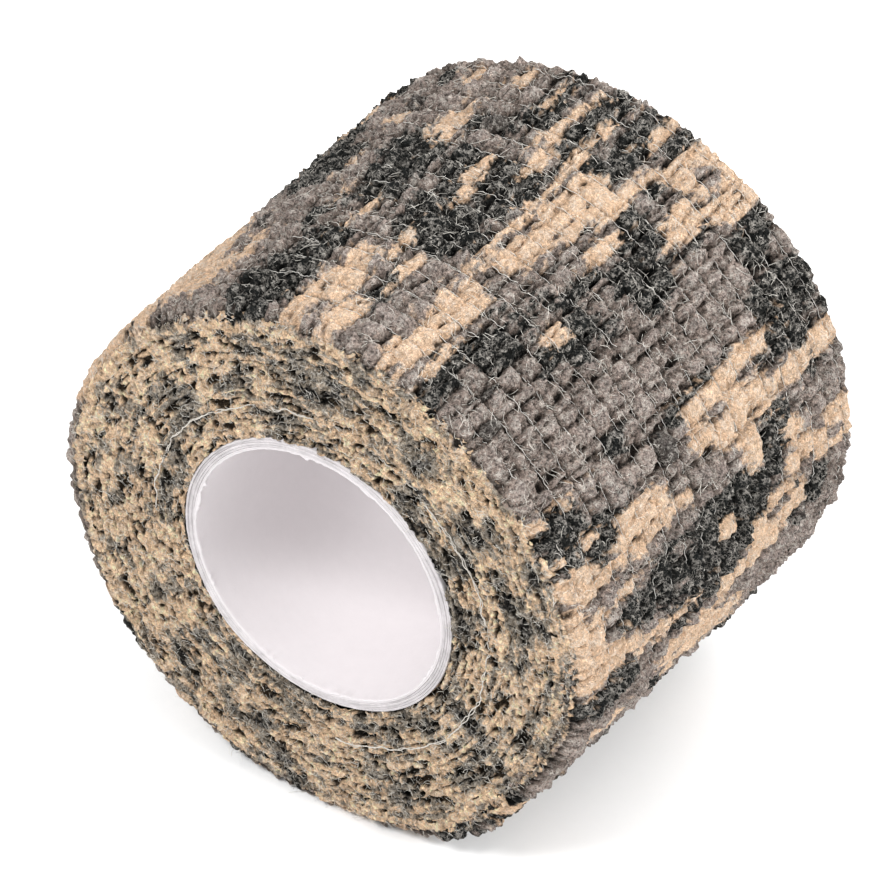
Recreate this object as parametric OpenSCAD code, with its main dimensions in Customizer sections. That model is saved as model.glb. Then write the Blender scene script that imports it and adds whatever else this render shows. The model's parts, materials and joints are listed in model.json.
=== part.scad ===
// Roll of crinkled, self-clinging elastic wrap on a paper core, lying on its side.
// Frame: Z up, Y along the roll's axis, front end face at -Y, origin at the
// middle of the core's bore. The strip's free end lies on the +X side.

/* [Core] */
// Radius of the core's bore
bore_r = 14.8; // [12:0.1:18]
// Thickness of one paper ply
ply_t = 0.25; // [0.2:0.05:0.4]
// Gap between neighbouring plies
ply_gap = 0.01; // [0.005:0.005:0.02]

/* [Strip] */
// Width of the strip, which is the length of the roll
strip_w = 50; // [40:1:75]
// Thickness of each of the strip's two fleece webs
web_t = 0.36; // [0.2:0.02:0.4]
// Thickness of the elastic yarns between the webs
yarn_t = 0.08; // [0.06:0.01:0.1]
// Width of one elastic yarn
yarn_w = 0.3; // [0.2:0.05:0.6]
// Distance between neighbouring yarns
yarn_pitch = 2.9; // [2.4:0.1:2.9]
// Radial distance from one turn to the next
turn_pitch = 0.87; // [0.86:0.01:0.95]
// Number of whole turns under the free end
turns = 17; // [8:1:20]

/* [Free end] */
// Angle that each of the three segments of the free end covers
tail_step = 18; // [12:1:18]
// Depth of the flat that the roll's weight presses into its underside
flat_depth = 0.3; // [0.2:0.05:0.34]

/* [Edge thread] */
// Radius of the loose thread on the front end face
thread_r = 0.1; // [0.05:0.05:0.2]
// Turn of the strip that the thread has come out of
thread_turn = 4; // [2:1:6]
// Angle that the thread reaches past 3 o'clock, down the right side
thread_reach = 84; // [20:1:170]

/* [Hidden] */
$fn = 96;
slit = 0.01;
hinge_gap = 0.03;
yarn_count = 17;
ply_step = ply_t + ply_gap;
ply_names = ["core_liner", "core_ply_1", "core_ply_2", "core_ply_3", "core_cover"];
core_r = bore_r + len(ply_names) * ply_step;

// Radial places inside one thickness of the strip, from the side nearer the core
inner_web_at = 0;
yarn_at = web_t + slit;
outer_web_at = yarn_at + yarn_t + slit;
strip_t = outer_web_at + web_t;

start_r = core_r + 0.03;
tail_r = start_r + turns * turn_pitch;
hinge_r = tail_r + strip_t;
floor_z = -(tail_r - turn_pitch + strip_t - flat_depth);

first_yarn_y = -(yarn_count - 1) * yarn_pitch / 2;
yarn_names = [for (i = [1:yarn_count]) str("yarn_", i < 10 ? "0" : "", i)];

// Part of a ring about the Y axis: a rectangle r to r + t, y to y + w, swept
// clockwise from angle a by sweep degrees, as seen from the front.
module arc_band(r, t, y, w, a, sweep) {
    rotate([90, 0, 0])
        rotate([0, 0, a - sweep])
            rotate_extrude(angle = sweep)
                translate([r, -y - w])
                    square([t, w]);
}

// One layer of the wound strip: lower half turns are centred on the axis and
// upper ones half a pitch to the right, so that the ends of the halves meet.
module wound_layer(at, t, y, w) {
    for (i = [0:turns - 1]) {
        r = start_r + at + i * turn_pitch;
        arc_band(r, t, y, w, 0, 180);
        translate([turn_pitch / 2, 0, 0])
            arc_band(r + turn_pitch / 2, t, y, w, 180, 180);
    }
}

// The same layer in segment i of the free end, which starts at 3 o'clock
module tail_layer(at, t, y, w, i) {
    inset = hinge_gap / tail_r * 180 / PI;
    a = -(i - 1) * tail_step - inset;
    arc_band(tail_r + at, t, y, w, a, tail_step - inset);
}

module core_ply(i) {
    shade = i == 0 ? 1 : 0.9 + 0.02 * i;
    color([shade, shade, shade])
        arc_tube(bore_r + i * ply_step, ply_t);
}

module arc_tube(r, t) {
    rotate([90, 0, 0])
        difference() {
            cylinder(r = r + t, h = strip_w, center = true);
            cylinder(r = r, h = strip_w + 2, center = true);
        }
}

module inner_web() {
    color("tan")
        wound_layer(inner_web_at, web_t, -strip_w / 2, strip_w);
}

module outer_web() {
    color("dimgray")
        difference() {
            wound_layer(outer_web_at, web_t, -strip_w / 2, strip_w);
            translate([-hinge_r, -strip_w, floor_z - 5])
                cube([2 * hinge_r, 2 * strip_w, 5]);
        }
}

module yarn(i) {
    color("white")
        wound_layer(yarn_at, yarn_t, first_yarn_y + i * yarn_pitch - yarn_w / 2, yarn_w);
}

// The strand stands just clear of the front end face. It follows one turn's edge
// over the top, and the next turn's edge down the right side.
module edge_thread() {
    r = start_r + thread_turn * turn_pitch;
    y = strip_w / 2 + thread_r + 0.02;
    color("ivory") {
        translate([turn_pitch / 2, 0, 0])
            thread_arc(r + turn_pitch / 2, y, 180, 180);
        thread_arc(r + turn_pitch, y, 0, thread_reach);
    }
}

module thread_arc(r, y, a, sweep) {
    rotate([90, 0, 0])
        rotate([0, 0, a - sweep])
            rotate_extrude(angle = sweep)
                translate([r, y])
                    circle(r = thread_r, $fn = 16);
}

module inner_web_tail(i) {
    color("tan")
        tail_layer(inner_web_at, web_t, -strip_w / 2, strip_w, i);
}

module outer_web_tail(i) {
    color("dimgray")
        tail_layer(outer_web_at, web_t, -strip_w / 2, strip_w, i);
}

module yarns_tail(i) {
    color("white")
        for (k = [0:yarn_count - 1])
            tail_layer(yarn_at, yarn_t, first_yarn_y + k * yarn_pitch - yarn_w / 2, yarn_w, i);
}

for (i = [0:len(ply_names) - 1])
    core_ply(i);
inner_web();
outer_web();
for (i = [0:yarn_count - 1])
    yarn(i);
edge_thread();
for (i = [1:3]) {
    inner_web_tail(i);
    outer_web_tail(i);
    yarns_tail(i);
}
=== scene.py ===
# Looks of a roll of crinkled, self-clinging elastic wrap on a paper core.
#
# The strip is described in its own coordinates: w, the winding angle, clockwise from
# 3 o'clock as seen from the front end, and y, the distance across the strip. Lengths
# along the strip are w times the outer radius. All lengths are in metres.
import json
import math

import bpy
import numpy as np
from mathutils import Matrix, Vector


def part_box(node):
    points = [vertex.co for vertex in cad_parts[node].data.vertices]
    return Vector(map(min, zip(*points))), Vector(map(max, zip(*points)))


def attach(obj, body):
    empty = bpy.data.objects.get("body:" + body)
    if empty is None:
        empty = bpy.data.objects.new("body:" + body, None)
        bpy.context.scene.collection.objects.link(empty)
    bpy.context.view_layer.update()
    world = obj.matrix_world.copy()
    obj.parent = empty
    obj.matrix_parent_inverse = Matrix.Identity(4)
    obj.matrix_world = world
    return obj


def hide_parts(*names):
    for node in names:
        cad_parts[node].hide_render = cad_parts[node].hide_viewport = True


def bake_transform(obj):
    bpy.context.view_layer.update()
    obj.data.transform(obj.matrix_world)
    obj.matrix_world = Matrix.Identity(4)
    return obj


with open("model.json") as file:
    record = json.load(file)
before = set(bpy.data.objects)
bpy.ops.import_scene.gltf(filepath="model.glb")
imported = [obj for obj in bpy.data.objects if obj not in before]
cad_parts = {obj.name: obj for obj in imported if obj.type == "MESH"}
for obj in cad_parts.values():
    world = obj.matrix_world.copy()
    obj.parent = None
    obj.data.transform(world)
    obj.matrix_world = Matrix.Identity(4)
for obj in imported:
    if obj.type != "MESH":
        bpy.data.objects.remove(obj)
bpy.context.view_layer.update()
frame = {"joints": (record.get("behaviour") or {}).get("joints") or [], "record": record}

# ---------------------------------------------------------------- sizes
MM = 0.001
TAU = 2 * math.pi
mounts = {m["name"]: m for m in frame["record"]["mounts"]}
BORE_R = mounts["core_bore"]["dims"]["r_mm"] * MM
FLOOR_Z = mounts["resting_flat"]["pos_m"][2]
CORE_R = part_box("core_cover")[1].x
HALF_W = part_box("outer_web")[1].y
HINGES = [Vector(j["pos_m"]) for j in frame["joints"]]
OUT_R = HINGES[0].x
TURNS = 17
STRIP_T = 0.82 * MM                     # thickness of the strip
START_R = CORE_R + 0.03 * MM            # where the first turn begins
TURN = (OUT_R - STRIP_T - START_R) / TURNS
PLIES = ["core_liner", "core_ply_1", "core_ply_2", "core_ply_3", "core_cover"]
PLY_STEP = (CORE_R - BORE_R) / len(PLIES)

YARNS = 17
YARN_PITCH = 2.9 * MM
RIB_PITCH = 1.6 * MM                    # between two creases, on average
TAIL_STEP = math.radians(18)            # one segment of the free end
LAST = TAU * TURNS                      # winding angle of the first hinge
HIDDEN_START = LAST - TAU - math.radians(12)    # where the modelled outer turn begins

# Colours of the print, linear
SAND = np.array([0.79, 0.57, 0.40])
GREY = np.array([0.278, 0.23, 0.207])
CHARCOAL = np.array([0.009, 0.0105, 0.0105])
CUT_SAND = np.array([0.90, 0.63, 0.41])
CUT_GREY = np.array([0.30, 0.252, 0.196])
CUT_DARK = np.array([0.012, 0.011, 0.010])


# ---------------------------------------------------------------- noise
HASH_PLACE = (374761393, 668265263, 144665)     # odd factors for x, y and the seed
HASH_STEPS = ((13, 1274126177), (15, 2246822519))
LOW_32_BITS = 0xFFFFFFFF
LOW_24_BITS = 0xFFFFFF


def lattice(ix, iy, seed):
    """A repeatable random number from 0 to 1 for each whole-number place."""
    for_x, for_y, for_seed = HASH_PLACE
    h = ix.astype(np.int64) * for_x + iy.astype(np.int64) * for_y + seed * for_seed
    h = h & LOW_32_BITS
    for shift, factor in HASH_STEPS:
        h = ((h ^ (h >> shift)) * factor) & LOW_32_BITS
    return ((h ^ (h >> 16)) & LOW_24_BITS) / float(LOW_24_BITS)


def noise(x, y, seed):
    """Smooth noise from 0 to 1, with features about one unit across."""
    ix, iy = np.floor(x), np.floor(y)
    fx, fy = x - ix, y - iy
    fx, fy = fx * fx * (3 - 2 * fx), fy * fy * (3 - 2 * fy)
    low = lattice(ix, iy, seed) * (1 - fx) + lattice(ix + 1, iy, seed) * fx
    high = lattice(ix, iy + 1, seed) * (1 - fx) + lattice(ix + 1, iy + 1, seed) * fx
    return low * (1 - fy) + high * fy


def cloud(x, y, seed, octaves=3):
    """Noise of several sizes, centred on 0 and mostly within -0.5 to 0.5. Each size is turned
    and shifted against the one before, so that no grid shows."""
    total, size = 0.0, 1.0
    for k in range(octaves):
        x, y = 0.8 * x + 0.6 * y, 0.8 * y - 0.6 * x
        total = total + (noise(x / size + 17.3 * k, y / size - 9.1 * k, seed + k) - 0.5) * size
        size *= 0.5
    return total


def smooth(x, low, high):
    """Rises softly from 0 at low to 1 at high."""
    t = np.clip((x - low) / (high - low), 0, 1)
    return t * t * (3 - 2 * t)


# ---------------------------------------------------------------- the strip's print
# Patches of the print on the side that faces the camera. Each is an angle on
# the roll in degrees, anticlockwise from 3 o'clock as seen from the front end, then from
# y, to y and the width round the roll in millimetres. A dark patch lies under a sand one.
SAND_PATCHES = [
    (147, -25, 1, 9.0), (136, -25, -4, 7.5), (157, -25, -17, 8.0), (126, -22.5, -14, 7.5),
    (121.5, -17, -10, 3.0), (95, -25, -13, 4.4), (88, -25, -18.5, 2.8),
    (84.8, -20, -15, 0.9), (95.5, -13, -11, 3.0), (91, -11, -8, 0.8), (86, -13, -10.5, 1.6),
    (74, -25, -9, 3.9), (75.5, -10, -4, 1.4), (73, -5, 2, 3.2), (78.3, -8, 2, 1.0), (73, 1, 8, 4.7),
    (72.5, 6, 12, 5.2), (79, 5, 13.5, 1.5), (67.5, 8, 17, 1.7), (69, -22, -18, 1.0), (63, 2, 7, 1.9),
    (58, -9.5, -7, 1.8), (57, 12.5, 18, 3.5), (54.8, 10, 13, 0.9), (63.5, 17, 25, 4.2),
    (55, 18, 25, 5.0), (59, 22, 25, 4.4), (122, 11.5, 14, 2.0), (105, 6.5, 10.5, 2.0),
    (107.5, 9.5, 15.5, 2.6), (119.5, 2, 5, 1.2), (112, -4, -2, 1.5), (104, -7, -3, 0.9),
    (92.3, 3.5, 7.5, 1.7), (91, 0.5, 5, 0.7), (85, 7, 13, 1.5), (87, 12, 19.5, 1.2), (85, 20, 22, 0.9),
    (114, 20, 22.5, 2.5), (103, 20, 23, 2.2), (93, 18, 22, 1.0), (71.8, 20, 25, 1.1),
    (79.5, 15, 21, 0.8), (35.5, -25, -19, 1.3), (27, -25, -18, 1.0), (22, -25, -20, 2.4),
    (11, -25, -22.6, 11.5), (18.5, -24, -13, 1.8), (21, -16, -7, 5.0), (18.5, -7, -4, 1.3),
    (12, -25, -15, 1.5), (5, -25, -20.5, 7.4), (4, -21, -18, 3.8), (1, -20, -15, 1.6), (-2, -16, -10, 1.7),
    (-4, -12, -5, 1.7), (-14, -10, 1, 4.8), (-18, -2, 4, 3.0), (-23, -6, 9, 5.5), (27.5, -1, 2.5, 5.4),
    (30.5, 2, 12.5, 2.7), (23, 2, 13, 4.0), (27, 5, 12, 3.2), (32.5, 6, 14, 1.5), (16.5, 5, 8.5, 3.6),
    (22.5, 12, 19, 2.6), (22.5, 20, 25, 2.6), (-5, 5, 11.5, 6.2), (-4, 11, 15.5, 3.8),
    (-8, 0, 6, 2.2), (2, 9.5, 12.5, 2.2), (13, 13, 15, 3.0), (6.5, 12.5, 19.5, 3.8), (5, 18, 25, 5.6),
    (5.5, 0, 1.8, 1.6),
]
DARK_PATCHES = [
    (107, -25, -13, 8.0), (106, -14, -9, 5.0), (86.5, -19, -12, 3.3), (89, -8, 1, 10.0),
    (92, 0, 9, 8.0), (84, -2, 9, 5.0), (106, -6, 10, 6.0), (113, -9, -4, 3.0), (112, 5, 10, 4.0),
    (127, 0, 9, 8.0), (121, 20, 22.5, 3.0), (66, -24, -12, 4.0), (62.5, -20, -9, 2.2),
    (64, -10, -6, 1.6), (61, -6, 0, 1.4), (55, -12, -1, 4.4), (55, 2, 10, 6.6), (62, 6, 12, 3.6),
    (57, 9, 12.5, 3.0), (75.5, 11.5, 14.5, 4.4), (82, 10, 25, 4.4), (74.5, 15, 24, 4.0),
    (65, 14, 17.5, 2.2), (92, 13, 25, 3.5), (102.5, 10, 15, 2.0), (69, 18, 25, 2.0),
    (49.5, 20, 25, 2.2), (31, -25, -19, 5.4), (25.5, -25, -12, 4.6), (7, -18, -10, 3.8),
    (7, -11, -7, 6.4), (37, -12, -7, 2.6), (33.5, -4, 4, 1.9), (6, -6, 10, 8.6), (-3, -9, 5, 5.4),
    (14, 8.5, 13, 5.6), (45, 18, 21, 4.5), (34, 15, 24, 7.4), (47.5, 21, 23.5, 2.6),
    (23, 18.5, 20.5, 3.6), (27.5, 14, 25, 2.4), (-5, 13, 20, 5.4), (0.5, 9, 14, 1.7),
    (-6, -25, -15, 4.6), (53.5, 9, 16, 1.6),
]
# Holes in the sand patches, in the same form
HOLES = [
    (125, -25, -22, 2.6), (93, -22.8, -20, 1.8), (74.5, -8.5, -6, 1.4), (70.8, -8, -5, 1.2),
    (60.5, 20.2, 22, 2.8), (26.5, 2, 5, 1.7), (29, 9, 13, 1.2), (6.5, -21, -18, 1.4),
    (-1.5, 9.5, 12, 1.9), (8.5, 17, 19, 1.0), (4.2, 20, 22, 1.2), (15.5, -22, -19, 1.0),
    (119, -24, -22, 1.2), (57.5, 19, 21, 0.8), (71.5, 2, 4, 0.8),
]
SEEN_FROM, SEEN_TO = 130, -18           # degrees between which only the patches above lie


def far_side_patches(count, seed, widths):
    """Patches of the same kind for the rest of the roll, and for its turn under the free end."""
    rng = np.random.default_rng(seed)
    hidden = 360 - (SEEN_FROM - SEEN_TO)
    found = []
    for _ in range(count):
        angle = SEEN_FROM + rng.uniform(2, hidden - 2)
        middle, length = rng.uniform(-26, 26), rng.uniform(3, 15)
        found.append((angle, middle - length / 2, middle + length / 2, rng.uniform(*widths)))
    return found


SAND_PATCHES += far_side_patches(60, 11, (1.5, 5.5))
DARK_PATCHES += far_side_patches(56, 12, (2.5, 9.0))


def patch_depth(patches, angle, y, ragged):
    """How far inside the nearest patch each point is, in millimetres: below 0 is outside.
    A patch is an oval with full corners, and ragged moves its border."""
    depth = np.full(angle.shape, -9.0)
    for at, low, high, width in patches:
        around = (angle - at + 180) % 360 - 180
        x = np.radians(around) * OUT_R / (width / 2 * MM)
        v = (y - (low + high) / 2 * MM) / ((high - low) / 2 * MM + 0.4 * MM)
        inside = 1 - (np.abs(x) ** 2.6 + np.abs(v) ** 3.2) ** (1 / 2.8)
        depth = np.maximum(depth, inside * min(width, high - low) / 2 + ragged)
    return depth


CELL_SHARE = 0.35                       # how far the print's borders keep to whole blisters


def print_colour(w, y, cell_w, cell_y, cell_random):
    """The print's colour, and how much of the sand colour there is, from 0 to 1. Borders keep
    partly to whole blisters, given by their middles and a random number for each."""
    s = w * OUT_R
    angle = -np.degrees(w * (1 - CELL_SHARE) + cell_w * CELL_SHARE)
    along = y * (1 - CELL_SHARE) + cell_y * CELL_SHARE
    along = np.clip(along, -HALF_W + 0.3 * MM, HALF_W - 0.3 * MM)
    torn = cloud(s / (0.7 * MM), y / (2.2 * MM), 41) + 0.7 * cloud(s / (0.3 * MM), y / (0.5 * MM), 42)
    frayed = cloud(s / (0.8 * MM), y / (2.2 * MM), 43) + 0.8 * cloud(s / (0.3 * MM), y / (0.5 * MM), 44)
    sand_depth = patch_depth(SAND_PATCHES, angle, along, torn * 0.75)
    sand_depth = np.minimum(sand_depth, -patch_depth(HOLES, angle, along, torn * 0.5))
    dark_depth = patch_depth(DARK_PATCHES, angle, along, frayed * 0.9 + (cell_random - 0.55) * 1.3)
    sand = smooth(sand_depth, -0.18, 0.16)
    dark = smooth(dark_depth, -0.25, 0.20)
    lone_dark = smooth(cell_random, 0.955, 0.97)
    dark = np.maximum(dark, lone_dark * 0.8)
    stray = smooth(noise(s / (0.5 * MM), y / (0.9 * MM), 47), 0.80, 0.9)
    stray = stray * smooth(sand_depth, -1.6, -0.1)
    sand = np.maximum(sand, stray * 0.7)
    level = 0.86 + 0.30 * cell_random + 0.3 * cloud(s / (2 * MM), y / (3 * MM), 45)
    level = (level + 0.55 * cloud(s / (0.45 * MM), y / (0.6 * MM), 46))[..., None]
    colour = GREY * level
    colour = colour * (1 - dark[..., None]) + CHARCOAL * level * dark[..., None]
    sand_tone = SAND * (0.70 + 0.30 * level)
    colour = colour * (1 - sand[..., None]) + sand_tone * sand[..., None]
    return colour, sand


# ---------------------------------------------------------------- the strip's crinkles
STRIP_LENGTH = (TAU + math.radians(90)) * OUT_R     # the stretch that can be seen, and a margin
FIRST_YARN = -(YARNS - 1) / 2 * YARN_PITCH


def rib_edges():
    """Where the creases between blisters lie, for each row between two yarns."""
    rng = np.random.default_rng(5)
    count = int(STRIP_LENGTH / RIB_PITCH * 1.1) + 4
    steady = np.cumsum(rng.uniform(0.72, 1.28, count)) * RIB_PITCH
    drift = np.zeros(count)
    rows = []
    for _ in range(YARNS + 1):
        drift = 0.8 * drift + rng.normal(0, 0.15 * RIB_PITCH, count)
        kept = rng.random(count) > 0.1
        rows.append(np.sort((steady + drift)[kept]) - 3 * RIB_PITCH)
    return rows


RIB_EDGES = rib_edges()
BORDER = 0.9 * MM                       # the plain border outside the first and last yarns
SOFT_LIMIT, SOFT_RANGE = 0.75, 0.3      # blisters taller than the limit are pressed down


def blister_places(s, row):
    """For each point, from its length along the strip and its row: how far through its blister
    it is, from 0 to 1, the blister's middle, the height kept in the creases beside it, and a
    random number for the blister."""
    u = np.zeros(s.shape)
    middle = np.zeros(s.shape)
    shallow = np.zeros(s.shape)
    own = np.zeros(s.shape)
    for k, edges in enumerate(RIB_EDGES):
        here = row == k
        if not here.any():
            continue
        i = np.clip(np.searchsorted(edges, s[here]), 1, len(edges) - 1)
        left, right = edges[i - 1], edges[i]
        u[here] = np.clip((s[here] - left) / (right - left), 0, 1)
        middle[here] = (left + right) / 2
        left_edge = lattice(i - 1, np.full(i.shape, k), 31) ** 2
        right_edge = lattice(i, np.full(i.shape, k), 31) ** 2
        shallow[here] = 0.55 * (left_edge * (1 - u[here]) + right_edge * u[here])
        own[here] = lattice(i, np.full(i.shape, k), 32)
    return u, middle, shallow, own


def crinkle(w, y):
    """Relief of the strip's face at winding angle w and place y: the height from 0 in the
    creases to about 1 on the blisters, each blister's middle and a random number for each."""
    s = (w - HIDDEN_START) * OUT_R
    s_bent = s + cloud(s / (1.5 * MM), y / (1.3 * MM), 21) * 0.36 * MM
    row = np.clip(np.floor((y - FIRST_YARN) / YARN_PITCH) + 1, 0, YARNS).astype(int)
    y_bent = y + cloud(s / (1.1 * MM), y / (4 * MM), 22, 2) * 0.3 * MM
    v = (y_bent - FIRST_YARN) / YARN_PITCH + 1 - row
    u, middle, shallow, own = blister_places(s_bent, row)

    # Each blister's section along the strip and across it
    cell = np.round(middle / MM * 50)
    skewed = u ** (0.6 + 0.9 * lattice(cell, row, 34))
    across = 1 - np.abs(2 * skewed - 1) ** (1.5 + 1.4 * lattice(cell, row, 35))
    across = shallow + (1 - shallow) * np.clip(across, 0, 1)
    border = np.minimum(HALF_W - np.abs(y), BORDER) / BORDER
    along = np.clip(1 - np.abs(2 * np.clip(v, 0, 1) - 1) ** 3, 0, 1) ** 0.8
    along = np.where((row == 0) | (row == YARNS), np.clip(border, 0, 1) ** 0.4 * 0.9, along)
    along = 0.06 + 0.94 * along

    # Its height, with a soft limit, and the way it leans
    tall = 0.55 + 0.6 * own
    lean = (lattice(cell, row, 33) - 0.35) * 0.9 * (1 - 2 * v) * np.clip(across * 2, 0, 1)
    height = across * along * tall * (1 + 0.4 * lean)
    above = (height - SOFT_LIMIT) / SOFT_RANGE
    height = np.where(height > SOFT_LIMIT, SOFT_LIMIT + SOFT_RANGE * np.tanh(above), height)

    # A pocket in some blisters, then small folds and grain
    pocket_u = u - 0.72 - 0.2 * lattice(cell, row, 36)
    pocket_v = v - 0.2 - 0.6 * lattice(cell, row, 37)
    pocket = np.exp(-(pocket_u / 0.20) ** 2 - (pocket_v / 0.24) ** 2)
    pocket = pocket * smooth(lattice(cell, row, 38), 0.3, 0.6)
    folds = 2 * np.abs(cloud(s / (0.75 * MM), y / (1.2 * MM), 23))
    height = height - 0.6 * pocket + (folds - 0.4) * 0.34
    height = height + cloud(s / (0.32 * MM), y / (0.36 * MM), 24) * 0.20
    centre_w = HIDDEN_START + middle / OUT_R
    centre_y = FIRST_YARN + (row - 0.5) * YARN_PITCH
    return height, centre_w, centre_y, own


RELIEF = 1.1 * MM                       # from the creases to the top of a blister
HOLLOW_SHADE_TINT = np.array([0.0, 0.07, 0.14])   # painted shade: how much browner and darker the fleece is painted in the hollows


def outline(w, y):
    """How far the roll is out of round: a corner near 5 o'clock, a flatter stretch above it,
    both towards the front end, and slight waves."""
    angle = (-np.degrees(w) + 180) % 360 - 180
    front = smooth(-y, -14 * MM, 24 * MM)
    corner = 1.1 * MM * np.exp(-(((angle + 62) / 9) ** 2))
    flat = -1.3 * MM * np.exp(-(((angle + 32) / 15) ** 2))
    return (corner + flat) * front + cloud(w * OUT_R / (11 * MM), y / (14 * MM), 25, 2) * 0.5 * MM


def edge_round(y):
    """How far the face drops near the strip's two edges."""
    near = np.clip(1 - (HALF_W - np.abs(y)) / (1.1 * MM), 0, 1)
    return -0.6 * MM * near ** 2.4


def wound_radius(w):
    """Radius of the strip's inner face, as in the CAD: half turns about two centres."""
    turn = np.floor(w / TAU + 1e-9)
    part = w - turn * TAU
    return START_R + TURN * (turn + np.where(part < math.pi, 0, 0.5 + 0.5 * np.cos(part)))


def outward(w):
    """The direction away from the roll's axis at winding angle w."""
    return np.stack([np.cos(w), np.zeros(w.shape), -np.sin(w)], -1)


def face_point(w, y, radius):
    """The point at a winding angle, a place across the strip and a radius. Where the roll
    rests on the floor it is pressed flat."""
    p = np.stack(np.broadcast_arrays(radius * np.cos(w), y, -radius * np.sin(w)), -1)
    rest = FLOOR_Z + 0.06 * MM
    low = p[..., 2] < rest
    p[..., 2] = np.where(low, rest + 0.12 * (p[..., 2] - rest), p[..., 2])
    p[..., 2] = np.maximum(p[..., 2], FLOOR_Z)
    return p


def outer_face(w, y):
    """Points of the strip's printed face, with their colour, which holds painted shade in the hollows, and
    relief, which also sets the painted crease shade in the material.
    """
    height, cell_w, cell_y, own = crinkle(w, y)
    colour, sand = print_colour(w, y, cell_w, cell_y, own)
    # painted shade: the fleece is tinted browner and darker in the hollows between blisters
    painted_hollow_shade = 1 - np.clip(height, 0, 1)[..., None]
    colour = colour * (1 - HOLLOW_SHADE_TINT * painted_hollow_shade)
    under_tail = (w < LAST - TAU + 3.2 * TAIL_STEP).astype(float)   # flatter under the free end
    relief = RELIEF * (1 - 0.42 * sand) * (1 - 0.35 * under_tail)
    radius = wound_radius(w) + STRIP_T - 0.6 * RELIEF + relief * height + 0.2 * RELIEF * sand
    radius = radius + outline(w, y) + edge_round(y)
    # the last value sets the painted shade in the creases, kept lighter on the sand
    return face_point(w, y, radius), colour, height + 0.22 * sand


# ---------------------------------------------------------------- the cut edges
def unrolled(radius, w):
    """Where a place on an end face lies on the unwound strip: the length from the strip's
    start, and the turn, whose fraction is how far through the thickness the place is."""
    turn = (radius - wound_radius(w % TAU)) / TURN
    angle = w % TAU + TAU * np.floor(turn)
    return START_R * angle + TURN * angle ** 2 / (2 * TAU), turn


def end_relief(x, z, radius, w, seed):
    """The cut edges of all the turns: matted fleece, gaps between turns, and small pits. Gives
    the height, as a share of END_RELIEF, and the value from which the material paints shade, darkest in
    the pits and gaps."""
    length, turn = unrolled(radius, w)
    layer = np.floor(turn)
    band = np.cos(TAU * (turn + cloud(length / (1.3 * MM), layer * 3.7, seed, 2) * 0.6))
    bent = x + 0.6 * MM * cloud(x / MM, z / MM, seed + 1)
    matted = 2 * np.abs(cloud(bent / (1.25 * MM), z / (1.25 * MM), seed + 2))
    curls = cloud(bent / (0.36 * MM), z / (0.36 * MM), seed + 3)
    soft = cloud(x / (2.4 * MM), z / (2.4 * MM), seed + 4, 2)
    across = turn * TURN / (0.8 * MM) + 5.3 * layer
    ragged = 0.09 * cloud(x / (0.35 * MM), z / (0.35 * MM), seed + 7)
    pit = smooth(0.5 + ragged * 2 + cloud(length / (1.05 * MM), across, seed + 5, 2), 0.62, 0.95)
    loose = np.clip(1 - turn / 4.5, 0, 1) * smooth(x, 0.05 * OUT_R, 0.4 * OUT_R)
    open_gap = smooth(noise(length / (1.9 * MM), layer * 1.9, seed + 6) + 0.4 * loose, 0.55, 0.8)
    gap = smooth(band + 5 * ragged, 0.4, 1.1) * open_gap
    height = 0.38 * matted + 0.34 * curls + 0.5 * soft - 0.06 * band - 0.8 * pit - 0.55 * gap - 0.1
    # painted shade: lowest in the pits and the gaps between turns, where the material darkens the cut edge
    depth = 0.34 + 0.4 * matted + 0.5 * curls - 1.1 * pit - 0.8 * gap
    return height, np.clip(depth, -0.1, 1)


def end_colour(x, z, radius, w, seed):
    """Runs of sand, grey and charcoal along each turn's edge, broken up into specks."""
    length, turn = unrolled(radius, w)
    run = noise(length / (4.0 * MM), np.floor(turn + 0.3) * 2.3, seed + 20) * 0.50
    patch = (0.5 + cloud(x / (2.8 * MM), z / (2.8 * MM), seed + 21, 1)) * 0.75
    patch = patch + (0.5 + cloud(x / (1.0 * MM), z / (1.0 * MM), seed + 22, 1)) * 0.34
    level = run + patch + 0.24 * cloud(x / (0.34 * MM), z / (0.34 * MM), seed + 23)
    level = level + 0.02 - 0.13 * x / OUT_R
    sand = smooth(level, 0.70, 0.86)[..., None]
    dark = (1 - smooth(level, 0.44, 0.58))[..., None]
    colour = CUT_GREY * (1 - sand) + CUT_SAND * sand
    colour = colour * (1 - dark) + CUT_DARK * dark
    return colour * (1 + 0.8 * cloud(x / (0.4 * MM), z / (0.4 * MM), seed + 24)[..., None])


FACE_SEED = {-1: 100, 1: 200}           # front and back
END_RELIEF = 0.75 * MM
SIDE_ROWS = 7


def side_rows(top, bottom, tone, w, sign):
    """Fleecy rows from the edge of the printed face to a line below it: points, colour, relief.
    The print's own tone gives way to the colours of the cut edge."""
    share = np.linspace(0, 1, SIDE_ROWS + 2)[1:-1][None, :]
    rows = top[:, None] * (1 - share[..., None]) + bottom[:, None] * share[..., None]
    depth = np.linalg.norm(rows - top[:, None], axis=2)
    s = (w * OUT_R)[:, None] + 0 * depth
    rough = cloud(s / (0.45 * MM), depth / (0.4 * MM), 51 + sign)
    rows[..., 1] += sign * (0.16 * MM * np.sin(math.pi * share) + 0.42 * MM * rough)
    x, z = rows[..., 0], rows[..., 2]
    rows[..., 2] = np.maximum(z, FLOOR_Z + 0.02 * MM)
    cut = end_colour(x, z, np.hypot(x, z), w[:, None] + 0 * depth, FACE_SEED[sign])
    border = 1.2 * cloud(s / (0.7 * MM), depth / (0.5 * MM), 55 + sign)
    mix = smooth(depth / MM + border, 0.0, 0.3)
    colour = tone[:, None] * (1 - mix[..., None]) + cut * mix[..., None]
    return rows, colour, 0.5 + 0.7 * rough


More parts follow.
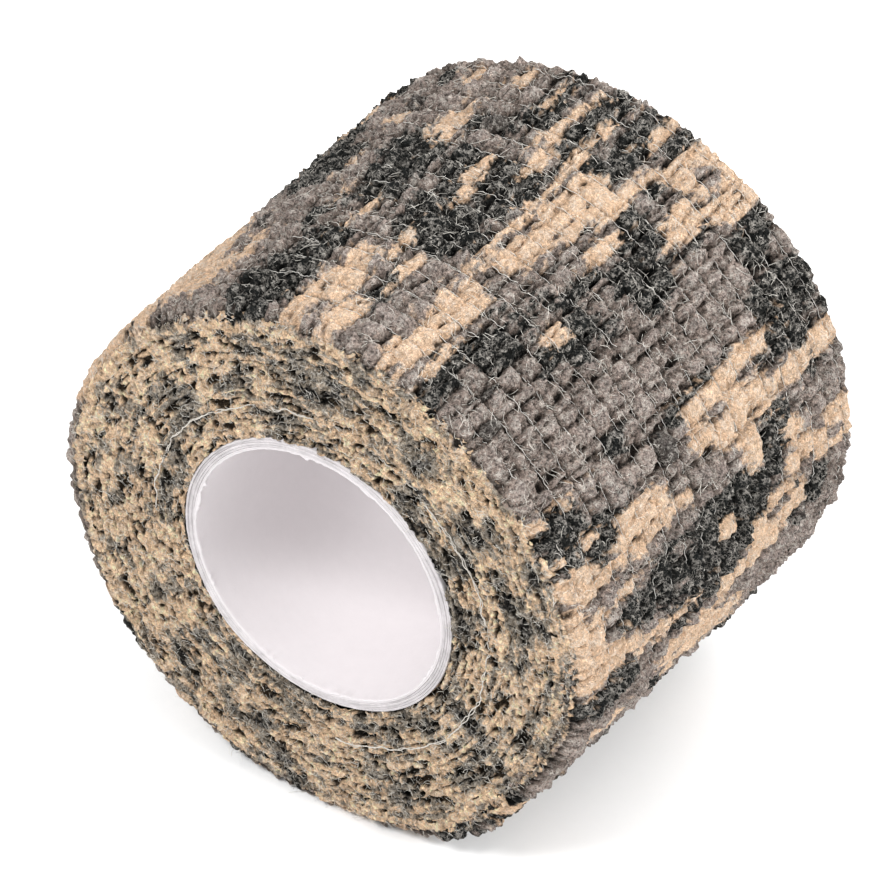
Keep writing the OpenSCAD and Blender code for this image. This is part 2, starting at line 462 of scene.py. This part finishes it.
# ---------------------------------------------------------------- meshes
def make_mesh(name, points, faces, colour=None, relief=None):
    """A smooth-shaded mesh object from arrays; colour and relief are kept on its points."""
    mesh = bpy.data.meshes.new(name)
    points = np.ascontiguousarray(points.reshape(-1, 3), np.float32)
    faces = np.ascontiguousarray(faces, np.int32)
    corners = faces.shape[1]
    mesh.vertices.add(len(points))
    mesh.vertices.foreach_set("co", points.ravel())
    mesh.loops.add(faces.size)
    mesh.loops.foreach_set("vertex_index", faces.ravel())
    mesh.polygons.add(len(faces))
    mesh.polygons.foreach_set("loop_start", np.arange(0, faces.size, corners, dtype=np.int32))
    mesh.update(calc_edges=True)
    mesh.polygons.foreach_set("use_smooth", np.ones(len(faces), bool))
    if colour is not None:
        rgba = np.ones((len(points), 4), np.float32)
        rgba[:, :3] = np.clip(colour.reshape(-1, 3), 0, 1)
        mesh.attributes.new("tone", "FLOAT_COLOR", "POINT").data.foreach_set("color", rgba.ravel())
    if relief is not None:
        values = np.ascontiguousarray(relief.ravel(), np.float32)
        mesh.attributes.new("relief", "FLOAT", "POINT").data.foreach_set("value", values)
    mesh.validate()
    obj = bpy.data.objects.new(name, mesh)
    bpy.context.scene.collection.objects.link(obj)
    return obj


def grid_faces(rows, columns, wrap_rows=False, flip=False):
    """Quads of a grid of points, stored row by row."""
    i = np.arange(rows if wrap_rows else rows - 1)[:, None]
    j = np.arange(columns - 1)[None, :]
    a = i * columns + j
    b = (i + 1) % rows * columns + j
    quads = np.stack([a, a + 1, b + 1, b], -1).reshape(-1, 4)
    return quads[:, ::-1] if flip else quads


def unit(vectors):
    """Paths x points x 3 vectors, scaled to length 1."""
    return vectors / (np.linalg.norm(vectors, axis=2, keepdims=True) + 1e-12)


def tubes(centres, radius, sides):
    """Tubes along many paths at once: centres is paths x points x 3."""
    forward = unit(np.gradient(centres, axis=1))
    helper = np.where(np.abs(forward[..., 1:2]) < 0.9, [0.0, 1.0, 0.0], [1.0, 0.0, 0.0])
    side = unit(np.cross(forward, helper))
    up = np.cross(side, forward)
    turn = np.arange(sides) / sides * TAU
    ring = side[..., None, :] * np.cos(turn)[:, None] + up[..., None, :] * np.sin(turn)[:, None]
    paths, count = centres.shape[:2]
    points = centres[..., None, :] + ring * np.broadcast_to(radius, (paths, count))[..., None, None]
    p = np.arange(paths)[:, None, None] * count * sides
    i = np.arange(count - 1)[None, :, None] * sides
    k = np.arange(sides)[None, None, :]
    a, b = p + i + k, p + i + (k + 1) % sides
    quads = np.stack([a, b, b + sides, a + sides], -1).reshape(-1, 4)
    return points.reshape(-1, 3), quads


# ---------------------------------------------------------------- materials
def new_material(name):
    """An empty node material: the material, its nodes, its links and its shader."""
    material = bpy.data.materials.new(name)
    material.use_nodes = True
    nodes = material.node_tree.nodes
    links = material.node_tree.links
    return material, nodes, links, nodes["Principled BSDF"]


def noise_node(nodes, links, place, scale, detail=3.0, rough=0.6):
    """Noise in the object's own coordinates: the scale is in features per metre."""
    node = nodes.new("ShaderNodeTexNoise")
    node.inputs["Scale"].default_value = scale
    node.inputs["Detail"].default_value = detail
    node.inputs["Roughness"].default_value = rough
    links.new(place.outputs["Object"], node.inputs["Vector"])
    return node


def math_node(nodes, links, operation, a, b):
    """The result of one operation on two sockets or numbers."""
    node = nodes.new("ShaderNodeMath")
    node.operation = operation
    for socket, value in zip(node.inputs, (a, b)):
        if isinstance(value, (int, float)):
            socket.default_value = value
        else:
            links.new(value, socket)
    return node.outputs[0]


def range_node(nodes, links, value, low, high, to_low, to_high):
    """A value carried from one range to another, and held at its ends."""
    node = nodes.new("ShaderNodeMapRange")
    links.new(value, node.inputs["Value"])
    node.inputs["From Min"].default_value = low
    node.inputs["From Max"].default_value = high
    node.inputs["To Min"].default_value = to_low
    node.inputs["To Max"].default_value = to_high
    return node.outputs["Result"]


def blend_node(nodes, links, factor):
    """A mix of two colours, A and B, by a socket that runs from 0 to 1."""
    node = nodes.new("ShaderNodeMix")
    node.data_type = "RGBA"
    links.new(factor, node.inputs["Factor"])
    return node


def bump_node(nodes, links, shader, height, strength, distance):
    """Fine relief from a socket, in the shader's normal."""
    node = nodes.new("ShaderNodeBump")
    node.inputs["Strength"].default_value = strength
    node.inputs["Distance"].default_value = distance
    links.new(height, node.inputs["Height"])
    links.new(node.outputs["Normal"], shader.inputs["Normal"])


def fibre_web(nodes, links, place, scale, width):
    """A web of fine wandering lines: 1 on a line and 0 beside it."""
    field = noise_node(nodes, links, place, scale, 1.0)
    centred = math_node(nodes, links, "SUBTRACT", field.outputs["Fac"], 0.5)
    off = math_node(nodes, links, "ABSOLUTE", centred, 0)
    return range_node(nodes, links, off, 0.0, width, 1.0, 0.0)


def fleece_material(name, fibre_light, painted_crease_shade):
    """Non-woven fleece: the print's tone, a web of fine pale fibres, and painted shade in the creases."""
    material, nodes, links, shader = new_material(name)
    place = nodes.new("ShaderNodeTexCoord")
    tone = nodes.new("ShaderNodeAttribute")
    tone.attribute_name = "tone"
    relief = nodes.new("ShaderNodeAttribute")
    relief.attribute_name = "relief"

    # The print's tone, specked, with painted shade in the creases
    grain = noise_node(nodes, links, place, 2700, 3.0, 0.8)
    speck = range_node(nodes, links, grain.outputs["Fac"], 0.35, 0.65, 0.15, 1.85)
    # painted shade: the tone and fibres are darkened where the relief value is low, in creases, pits and
    # gaps
    depth = range_node(nodes, links, relief.outputs["Fac"], -0.05, 0.48, painted_crease_shade, 1.0)
    even = range_node(nodes, links, tone.outputs["Fac"], 0.25, 0.6, 1.0, 0.3)
    spread = math_node(nodes, links, "MULTIPLY", math_node(nodes, links, "SUBTRACT", speck, 1.0), even)
    level = math_node(nodes, links, "MULTIPLY", math_node(nodes, links, "ADD", spread, 1.0), depth)
    shaded = nodes.new("ShaderNodeVectorMath")
    shaded.operation = "SCALE"
    links.new(tone.outputs["Color"], shaded.inputs[0])
    links.new(level, shaded.inputs["Scale"])

    # Pale fibres over it, thicker in some places than in others
    pale = nodes.new("ShaderNodeVectorMath")
    pale.operation = "MULTIPLY_ADD"
    links.new(tone.outputs["Color"], pale.inputs[0])
    pale.inputs[1].default_value = (0.55, 0.55, 0.55)
    pale.inputs[2].default_value = (0.46, 0.43, 0.39)
    long = fibre_web(nodes, links, place, 1000, 0.040)
    middle = fibre_web(nodes, links, place, 1700, 0.060)
    short = fibre_web(nodes, links, place, 2600, 0.080)
    fibre = math_node(nodes, links, "MAXIMUM", math_node(nodes, links, "MAXIMUM", long, middle), short)
    patchy = noise_node(nodes, links, place, 1100, 3.0, 0.7)
    share = range_node(nodes, links, patchy.outputs["Fac"], 0.44, 0.60, 0.03, fibre_light)
    amount = math_node(nodes, links, "MULTIPLY", fibre, math_node(nodes, links, "MULTIPLY", share, depth))
    mix = blend_node(nodes, links, amount)
    links.new(shaded.outputs[0], mix.inputs["A"])
    links.new(pale.outputs[0], mix.inputs["B"])
    links.new(mix.outputs["Result"], shader.inputs["Base Color"])

    # Gloss and fine relief
    gloss = range_node(nodes, links, patchy.outputs["Fac"], 0.35, 0.7, 0.55, 0.85)
    links.new(gloss, shader.inputs["Roughness"])
    shader.inputs["Specular IOR Level"].default_value = 0.04
    rise = math_node(nodes, links, "MULTIPLY_ADD", fibre, 0.35)
    links.new(grain.outputs["Fac"], rise.node.inputs[2])
    bump_node(nodes, links, shader, rise, 1.0, 0.0007)
    return material


def thread_material(name, colour, rough):
    """Fine yarn or fibre, a little uneven along its length."""
    material, nodes, links, shader = new_material(name)
    place = nodes.new("ShaderNodeTexCoord")
    grain = noise_node(nodes, links, place, 2400, 2.0)
    ramp = blend_node(nodes, links, grain.outputs["Fac"])
    ramp.inputs["A"].default_value = (*(0.62 * c for c in colour), 1)
    ramp.inputs["B"].default_value = (*colour, 1)
    links.new(ramp.outputs["Result"], shader.inputs["Base Color"])
    shader.inputs["Roughness"].default_value = rough
    return material


def paper_material(name, colour, rough, mottle, painted_rim_shade=1.0):
    """White paper: faint cloudy fibres in its tone, a fine tooth, and painted shade on the rims that face
    the ends.
    """
    material, nodes, links, shader = new_material(name)
    place = nodes.new("ShaderNodeTexCoord")
    pulp = noise_node(nodes, links, place, 700, 4.0, 0.65)
    ramp = blend_node(nodes, links, range_node(nodes, links, pulp.outputs["Fac"], 0.3, 0.7, 0.0, 1.0))
    ramp.inputs["A"].default_value = (*((1 - mottle) * c for c in colour), 1)
    ramp.inputs["B"].default_value = (*colour, 1)
    facing = nodes.new("ShaderNodeSeparateXYZ")
    links.new(place.outputs["Normal"], facing.inputs[0])
    endwise = math_node(nodes, links, "ABSOLUTE", facing.outputs["Y"], 0)
    # painted shade: rims that face along the roll's axis are darkened
    rim = nodes.new("ShaderNodeVectorMath")
    rim.operation = "SCALE"
    links.new(ramp.outputs["Result"], rim.inputs[0])
    links.new(range_node(nodes, links, endwise, 0.3, 0.9, 1.0, painted_rim_shade), rim.inputs["Scale"])
    links.new(rim.outputs[0], shader.inputs["Base Color"])
    tooth = noise_node(nodes, links, place, 4000, 3.0)
    gloss = range_node(nodes, links, tooth.outputs["Fac"], 0.3, 0.7, rough - 0.08, rough + 0.08)
    links.new(gloss, shader.inputs["Roughness"])
    bump_node(nodes, links, shader, tooth.outputs["Fac"], 0.25, 0.00004)
    return material


PRINTED = fleece_material("printed_fleece", 1.1, 0.07)
CUT_EDGE = fleece_material("cut_fleece", 0.8, 0.05)
YARN = thread_material("elastic_yarn", (0.80, 0.77, 0.72), 0.6)
FIBRE = thread_material("loose_fibre", (0.86, 0.82, 0.74), 0.6)
THREAD = thread_material("loose_thread", (0.64, 0.60, 0.54), 0.7)
LINER = paper_material("liner_paper", (0.69, 0.655, 0.665), 0.5, 0.03, 0.88)
PLY = paper_material("core_paper", (0.70, 0.665, 0.675), 0.8, 0.28, 0.88)


def dress(obj, material, body=None):
    """Gives a piece its material and slot, and the body it rides on if one is given."""
    obj.data.materials.append(material)
    if body:
        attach(obj, body)
    return obj


# ---------------------------------------------------------------- camera, floor and light
CAMERA_AZIMUTH = math.radians(34.2)
CAMERA_ELEVATION = math.radians(39.4)
CAMERA_DISTANCE = 0.646
AIM_RIGHT, AIM_UP = -1.35 * MM, -0.1 * MM   # from the origin, in the camera's view
SENSOR_WIDTH, FOCAL_LENGTH = 36, 257.4      # millimetres
LAMPS = [                               # name, place, size and power
    ("key", (-0.16, -0.46, 0.62), 0.28, 4.6),
    ("fill", (0.64, 0.10, 0.36), 0.40, 4.3),
    ("back", (0.10, 0.60, 0.36), 0.50, 3.9),
]
SKY = 0.80
FLOOR_REACH, FLOOR_POINTS = 3, 13       # metres to each side, and points along it


def place_camera():
    """The camera, at the photo's viewing angle."""
    level = math.cos(CAMERA_ELEVATION)
    back = Vector((math.sin(CAMERA_AZIMUTH) * level, -math.cos(CAMERA_AZIMUTH) * level,
                   math.sin(CAMERA_ELEVATION)))
    right = Vector((math.cos(CAMERA_AZIMUTH), math.sin(CAMERA_AZIMUTH), 0))
    up = back.cross(right)
    aim = AIM_RIGHT * right + AIM_UP * up
    lens = bpy.data.cameras.new("camera")
    lens.sensor_width = SENSOR_WIDTH
    lens.lens = FOCAL_LENGTH
    camera = bpy.data.objects.new("camera", lens)
    bpy.context.scene.collection.objects.link(camera)
    camera.location = aim + back * CAMERA_DISTANCE
    camera.rotation_euler = back.to_track_quat("Z", "Y").to_euler()
    bpy.context.scene.camera = camera


def place_lamp(name, place, size, power):
    """A round soft lamp that points at the middle of the roll."""
    data = bpy.data.lights.new(name, "AREA")
    data.shape = "DISK"
    data.size = size
    data.energy = power
    obj = bpy.data.objects.new(name, data)
    bpy.context.scene.collection.objects.link(obj)
    obj.location = place
    obj.rotation_euler = Vector(place).to_track_quat("Z", "Y").to_euler()


def studio():
    """Camera, lamps, an even white sky and a pale floor."""
    place_camera()
    for lamp in LAMPS:
        place_lamp(*lamp)
    world = bpy.data.worlds.new("studio")
    bpy.context.scene.world = world
    world.use_nodes = True
    sky = world.node_tree.nodes["Background"]
    sky.inputs["Color"].default_value = (1, 1, 1, 1)
    sky.inputs["Strength"].default_value = SKY
    bpy.context.scene.view_settings.view_transform = "Standard"

    side = np.linspace(-FLOOR_REACH, FLOOR_REACH, FLOOR_POINTS)
    x, y = np.meshgrid(side, side)
    points = np.stack([x, y, np.full(x.shape, FLOOR_Z)], -1)
    floor = make_mesh("floor", points, grid_faces(*x.shape))
    floor.data.materials.append(paper_material("floor", (0.93, 0.93, 0.93), 0.8, 0.01))


studio()


# ---------------------------------------------------------------- the wound strip
GRID = 0.13 * MM                        # between two points of the printed face
SIDE_DROP = 1.5 * MM                    # how far the face carries on down the roll's two ends


def strip_rows():
    """The places across the strip, from its front edge to its back one."""
    return np.linspace(-HALF_W, HALF_W, int(2 * HALF_W / GRID) + 1)


def strip_columns(w_from, w_to, step=GRID):
    """The winding angles along a stretch of the strip."""
    return np.linspace(w_from, w_to, int((w_to - w_from) * OUT_R / step) + 2)


def wrapped_edges(points, colour, relief, w):
    """Adds rows that carry the face round the strip's two edges and down its cut sides."""
    parts = [(points, colour, relief)]
    for column, sign in ((0, -1), (-1, 1)):
        top = points[:, column]
        side = side_rows(top, top - outward(w) * SIDE_DROP, colour[:, column], w, sign)
        if sign < 0:
            parts.insert(0, tuple(part[:, ::-1] for part in side))
        else:
            parts.append(side)
    return [np.concatenate(kind, 1) for kind in zip(*parts)]


def strip_sector(name, w_from, w_to):
    """One sector of the roll's outermost turn: its printed face and rounded edges."""
    w = strip_columns(w_from, w_to)
    grid_w, grid_y = np.meshgrid(w, strip_rows(), indexing="ij")
    points, colour, relief = outer_face(grid_w, grid_y)
    points, colour, relief = wrapped_edges(points, colour, relief, w)
    return make_mesh(name, points, grid_faces(*points.shape[:2], flip=True), colour, relief)


SECTORS = 8
ROOT_END = LAST - TAIL_STEP / 2         # where the pieces of the free end begin
sector_edges = np.linspace(HIDDEN_START, ROOT_END, SECTORS + 1)
for n in range(SECTORS):
    piece = strip_sector(f"wound_wrap_{n + 1}", sector_edges[n], sector_edges[n + 1])
    dress(piece, PRINTED, "roll")
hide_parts("outer_web", "inner_web")


# ---------------------------------------------------------------- the free end
TORN_STRETCH = 0.06                     # radians at the tip over which its edge turns ragged


def closed_band_faces(rows, columns, across):
    """Quads of a closed band whose first and last rows are capped. A row runs over the face,
    down one side, back along the underside and up the other side."""
    i = np.arange(rows - 1)[:, None]
    j = np.arange(columns)[None, :]
    a, b = i * columns + j, i * columns + (j + 1) % columns
    quads = np.stack([a, a + columns, b + columns, b], -1).reshape(-1, 4)
    k = np.arange(across - 1)
    below = 2 * across + SIDE_ROWS - 1 - k
    cap_start = np.stack([k, k + 1, below - 1, below], -1)
    cap_end = cap_start[:, ::-1] + (rows - 1) * columns
    return np.concatenate([quads, cap_start, cap_end])


def tail_piece(name, w_from, w_to, tip):
    """A stretch of the free end as a closed band: printed face, fleecy underside and cut edges."""
    w = strip_columns(w_from, w_to)
    y = strip_rows()
    grid_w, grid_y = np.meshgrid(w, y, indexing="ij")
    if tip:
        ragged = cloud(grid_y / (0.8 * MM), grid_w * 0 + 3.1, 61, 3) * 0.5 * MM
        grid_w = grid_w + ragged / OUT_R * smooth(grid_w, w_to - TORN_STRETCH, w_to)
    points, colour, relief = outer_face(grid_w, grid_y)
    height, _, _, own = crinkle(grid_w, grid_y)
    thick = STRIP_T * (0.75 + 0.2 * own) - 0.2 * RELIEF * (1 - height)
    radial = outward(grid_w)
    under = points - radial * thick[..., None]
    under_colour = colour * 0.55 + SAND * 0.3
    lip = radial[:, 0] * 0.22 * MM
    if tip:
        lip = lip * (1 - smooth(w, w_to - TORN_STRETCH, w_to))[:, None]
    back = side_rows(points[:, -1], under[:, -1] - lip, colour[:, -1], w, 1)
    front = side_rows(points[:, 0], under[:, 0] - lip, colour[:, 0], w, -1)
    front = [part[:, ::-1] for part in front]
    both = np.concatenate([points, back[0], under[:, ::-1], front[0]], 1)
    tones = np.concatenate([colour, back[1], under_colour[:, ::-1], front[1]], 1)
    reliefs = np.concatenate([relief, back[2], 1 - 0.5 * relief[:, ::-1], front[2]], 1)
    faces = closed_band_faces(*both.shape[:2], len(y))
    return make_mesh(name, both, faces, tones, reliefs)


for n in range(len(HINGES)):
    hinge_w = LAST + n * TAIL_STEP
    piece = tail_piece(f"free_end_{n + 1}", hinge_w - TAIL_STEP / 2, hinge_w + TAIL_STEP / 2, False)
    dress(piece, PRINTED)
    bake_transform(piece)
    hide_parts(f"outer_web_tail_{n + 1}", f"inner_web_tail_{n + 1}")
TIP_START = LAST + 2.5 * TAIL_STEP
TIP_END = LAST + 3 * TAIL_STEP
dress(tail_piece("free_end_tip", TIP_START, TIP_END, True), PRINTED, "tail_3")


# ---------------------------------------------------------------- the elastic yarns
YARN_STEP = 0.28 * MM                   # between two points of a yarn
YARN_RADIUS = 0.036 * MM


def yarn_paths(w_from, w_to):
    """Centre lines of all the yarns, which wander between the rows of blisters and partly
    follow the relief."""
    w = strip_columns(w_from, w_to, YARN_STEP)
    w = np.broadcast_to(w, (YARNS, len(w)))
    k = np.arange(YARNS)[:, None]
    s = w * OUT_R
    y = FIRST_YARN + k * YARN_PITCH + cloud(s / (1.5 * MM), k * 5.3 + 0 * s, 71, 3) * 0.17 * MM
    points, _, height = outer_face(w, y)
    wander = cloud(s / (0.8 * MM), k * 3.1 + 0 * s, 72, 2)
    lift = 0.12 * RELIEF - 0.5 * RELIEF * height + 0.34 * MM * wander
    paths = points + outward(w) * lift[..., None]
    paths[..., 2] = np.maximum(paths[..., 2], FLOOR_Z + 0.05 * MM)
    return paths


def yarn_set(name, w_from, w_to):
    """All the yarns along one stretch of the strip, as one piece."""
    return make_mesh(name, *tubes(yarn_paths(w_from, w_to), YARN_RADIUS, 4))


wound_yarns = dress(yarn_set("wound_yarns", HIDDEN_START, ROOT_END), YARN, "roll")
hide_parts(*[f"yarn_{n + 1:02d}" for n in range(YARNS)])
for n in range(len(HINGES)):
    hinge_w = LAST + n * TAIL_STEP
    piece = yarn_set(f"free_end_yarns_{n + 1}", hinge_w - TAIL_STEP / 2, hinge_w + TAIL_STEP / 2)
    dress(piece, YARN)
    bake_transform(piece)
    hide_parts(f"yarns_tail_{n + 1}")
dress(yarn_set("free_end_yarns_tip", TIP_START, TIP_END + 0.01), YARN, "tail_3")


# ---------------------------------------------------------------- the end faces
def end_outer_radius(w):
    """Radius of the wound part's outside at angle w of the last turn, from 0 to a full turn."""
    return wound_radius(w + LAST - TAU) + STRIP_T


def end_rim_radius(w, sign):
    """Where an end face stops: just inside the outermost turn of the wound part."""
    y = np.full(w.shape, sign * HALF_W)
    return end_outer_radius(w) + outline(w + LAST - TAU, y) - 0.75 * MM


END_STEP = 0.125 * MM                   # between two points round the middle of an end face
END_RINGS = 128
END_SECTORS = 4


def end_face(name, sign, w_from, w_to):
    """A sector of one end face, from the core to just inside the outermost turn."""
    mean_r = (CORE_R + OUT_R) / 2
    w = np.linspace(w_from, w_to, int((w_to - w_from) * mean_r / END_STEP) + 2)
    share = np.linspace(0, 1, END_RINGS)
    outer = end_rim_radius(w, sign)
    grid_w, grid_share = np.meshgrid(w, share, indexing="ij")
    radius = CORE_R + 0.02 * MM + grid_share * (outer[:, None] - CORE_R)
    x, z = radius * np.cos(grid_w), -radius * np.sin(grid_w)
    height, relief = end_relief(x, z, radius, grid_w, FACE_SEED[sign])
    colour = end_colour(x, z, radius, grid_w, FACE_SEED[sign])
    level = height * END_RELIEF - 0.3 * MM * smooth(grid_share, 0.95, 1.0)
    z = np.maximum(z, FLOOR_Z + 0.3 * MM)
    points = np.stack([x, sign * (HALF_W + level), z], -1)
    return make_mesh(name, points, grid_faces(*points.shape[:2], flip=sign > 0), colour, relief)


for label, sign in (("front", -1), ("back", 1)):
    for n in range(END_SECTORS):
        w_from, w_to = n * TAU / END_SECTORS, (n + 1) * TAU / END_SECTORS
        piece = end_face(f"{label}_end_{n + 1}", sign, w_from, w_to)
        dress(piece, CUT_EDGE, "roll")


# ---------------------------------------------------------------- loose fibres
FIBRES = 9000                           # on each of the three fleecy surfaces
FIBRE_POINTS, FIBRE_SIDES = 4, 3


def curled(points, directions, lift, length, rng):
    """Short curling paths that start at points and leave in the given directions."""
    each = (len(points), 1, 1)
    t = np.linspace(0, 1, FIBRE_POINTS)[None, :, None]
    side = np.cross(directions, lift)
    bend = rng.normal(0, 0.4, each)
    rise = rng.uniform(0.02, 0.25, each)
    reach = length[:, None, None]
    wave = np.sin(t * rng.uniform(2, 5, each) + rng.uniform(0, 6, each))
    along = directions[:, None] * t * reach
    return (points[:, None] + along + side[:, None] * (bend * t ** 2 + 0.12 * wave) * reach
            + lift[:, None] * (rise * t * (1.25 - t)) * reach)


def fibre_mesh(name, paths, radius):
    """Fibres along the paths, held just above the floor."""
    paths[..., 2] = np.maximum(paths[..., 2], FLOOR_Z + 0.03 * MM)
    return make_mesh(name, *tubes(paths, radius[:, None] * MM, FIBRE_SIDES))


def surface_fibres(name, count, w_from, w_to, seed):
    """Fibres that stand off the printed face, nearly half of them caught on the yarns."""
    rng = np.random.default_rng(seed)
    w = rng.uniform(w_from, w_to, count)
    y = rng.uniform(-HALF_W, HALF_W, count)
    near_yarn = rng.random(count) < 0.45
    yarn_y = FIRST_YARN + np.round((y - FIRST_YARN) / YARN_PITCH) * YARN_PITCH
    yarn_y = yarn_y + rng.normal(0, 0.25 * MM, count)
    y = np.clip(np.where(near_yarn, yarn_y, y), -HALF_W, HALF_W)
    points, _, _ = outer_face(w, y)
    lift = outward(w)
    around = np.stack([-np.sin(w), np.zeros(count), -np.cos(w)], -1)
    across = np.tile([0.0, 1.0, 0.0], (count, 1))
    turn = rng.uniform(0, TAU, count)[:, None]
    directions = around * np.cos(turn) + across * np.sin(turn)
    length = rng.uniform(0.4, 1.5, count) * MM
    paths = curled(points - 0.02 * MM * lift, directions, lift, length, rng)
    return fibre_mesh(name, paths, rng.uniform(0.013, 0.024, count))


def end_fibres(name, sign, count, seed):
    """Fibres that stand off one end face."""
    rng = np.random.default_rng(seed)
    w = rng.uniform(0, TAU, count)
    radius = np.sqrt(rng.uniform(CORE_R ** 2, end_rim_radius(w, sign) ** 2))
    x, z = radius * np.cos(w), -radius * np.sin(w)
    height, _ = end_relief(x, z, radius, w, FACE_SEED[sign])
    points = np.stack([x, sign * (HALF_W + height * END_RELIEF - 0.03 * MM), z], -1)
    lift = np.tile([0.0, float(sign), 0.0], (count, 1))
    turn = rng.uniform(0, TAU, count)
    directions = np.stack([np.cos(turn), np.zeros(count), np.sin(turn)], -1)
    paths = curled(points, directions, lift, rng.uniform(0.3, 1.0, count) * MM, rng)
    return fibre_mesh(name, paths, rng.uniform(0.012, 0.024, count))


wound_fuzz = surface_fibres("wound_fuzz", FIBRES, TIP_END - TAU, ROOT_END, 81)
dress(wound_fuzz, FIBRE, "roll")
dress(end_fibres("front_fuzz", -1, FIBRES, 82), FIBRE, "roll")
dress(end_fibres("back_fuzz", 1, FIBRES, 83), FIBRE, "roll")


# ---------------------------------------------------------------- the loose thread
THREAD_END = TAU + math.radians(84)
BURIED = [math.radians(d) for d in (264, 276, 304, 314)]    # sinks, is under, rises, is out


def loose_thread():
    """Follows one turn's edge over the top of the front end and down its right side. Over the
    top it is under the fleece in places."""
    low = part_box("edge_thread")[0]
    left = -low.x - 0.1 * MM
    w = np.linspace(math.pi, THREAD_END, 620)
    radius = left + TURN * np.where(w < TAU, 0.5 + 0.5 * np.cos(w), 1.0)
    s = w * radius
    drift = radius + cloud(s / (2.4 * MM), 0 * s, 91) * 0.5 * MM
    sinks, under, rises, out = BURIED
    sunk = smooth(w, sinks, under) * (1 - smooth(w, rises, out))
    patchy = smooth(noise(s / (2.1 * MM), 0 * s, 97), 0.55, 0.75) * (w < TAU)
    sunk = 0.4 * MM * np.maximum(sunk, patchy)
    filaments = []
    for k in range(2):
        r = drift + cloud(s / (1.1 * MM), 0 * s, 93 + 10 * k) * 0.34 * MM
        y = low.y + 0.02 * MM + cloud(s / (0.9 * MM), 0 * s + 4, 95 + 10 * k) * 0.3 * MM + sunk
        filaments.append(np.stack([r * np.cos(w), y, -r * np.sin(w)], -1))
    return make_mesh("loose_thread", *tubes(np.stack(filaments), 0.05 * MM, 6))


thread = dress(loose_thread(), THREAD, "roll")
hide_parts("edge_thread")


# ---------------------------------------------------------------- the paper core
PLY_STEPS = 900
RIM_DROP = 0.05 * MM
# Profiles of a ply's two rims: the share of its thickness, and how far its edge drops there
FRONT_RIM = [(0.0, 2.6), (0.1, 1.0), (0.28, 0.0), (0.45, 0.4), (0.52, 1.8), (0.6, 0.4),
             (0.78, 0.0), (0.92, 0.8), (1.0, 2.6)]
BACK_RIM = [(1.0, 1.6), (0.94, 0.6), (0.7, 0.0), (0.3, 0.0), (0.06, 0.6), (0.0, 1.6)]
TEAR_AT = math.radians(94)


def rim_waves(angle, s, index, rng):
    """How far one rim of a ply stands out all round."""
    level = rng.uniform(-0.10, 0.08) * MM
    slow = noise(np.cos(angle) * 3 + 9, np.sin(angle) * 3 + 9, 310 + index) - 0.5
    quick = noise(s / (0.3 * MM), s * 0, 320 + index) - 0.5
    return level + 0.2 * MM * slow + 0.05 * MM * quick


def liner_fray(angle, s):
    """How far the liner's torn front edge reaches into the bore, with one longer tear."""
    spiky = noise(s / (0.45 * MM), 0 * s, 331) * noise(s / (1.7 * MM), 0 * s + 5, 332)
    fray = 0.07 * MM + 0.5 * MM * np.clip(spiky - 0.25, 0, 1)
    return fray + 0.35 * MM * np.exp(-(((angle - TEAR_AT) / 0.02) ** 2))


def core_ply(index):
    """One ply of the core: a thin tube with softened rims. The liner's front rim is frayed."""
    inner = BORE_R + index * PLY_STEP
    outer = inner + PLY_STEP - 0.015 * MM
    angle = np.arange(PLY_STEPS) / PLY_STEPS * TAU
    s = angle * inner
    rng = np.random.default_rng(300 + index)
    front_waves, back_waves = [rim_waves(angle, s, index, rng) for _ in range(2)]
    fray = liner_fray(angle, s) if index == 0 else np.zeros(PLY_STEPS)

    loop = []                           # radius and y, all round, for each ring of points
    for share, drop in FRONT_RIM:
        r = inner + (outer - inner) * share - fray * (1 - share) ** 2
        loop.append((r, -HALF_W - front_waves + drop * RIM_DROP))
    for y in np.linspace(-HALF_W + 0.3 * MM, HALF_W - 0.3 * MM, 12):
        loop.append((outer + 0 * angle, y + 0 * angle))
    for share, drop in BACK_RIM:
        r = inner + (outer - inner) * share
        loop.append((r + 0 * angle, HALF_W + back_waves - drop * RIM_DROP))
    for y in np.linspace(HALF_W - 0.3 * MM, -HALF_W + 0.45 * MM, 40):
        loop.append((inner + 0 * angle, y + 0 * angle))

    points = np.stack([np.stack([r * np.cos(angle), y, r * np.sin(angle)], -1) for r, y in loop], 0)
    faces = grid_faces(len(loop), PLY_STEPS, wrap_rows=True)
    last = np.arange(len(loop))
    a, b = last * PLY_STEPS, (last + 1) % len(loop) * PLY_STEPS
    seam = np.stack([a + PLY_STEPS - 1, a, b, b + PLY_STEPS - 1], -1)
    return make_mesh(f"paper_{PLIES[index]}", points, np.concatenate([faces, seam]))


for index, node in enumerate(PLIES):
    ply = core_ply(index)
    dress(ply, LINER if index == 0 else PLY, "roll")
    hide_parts(node)
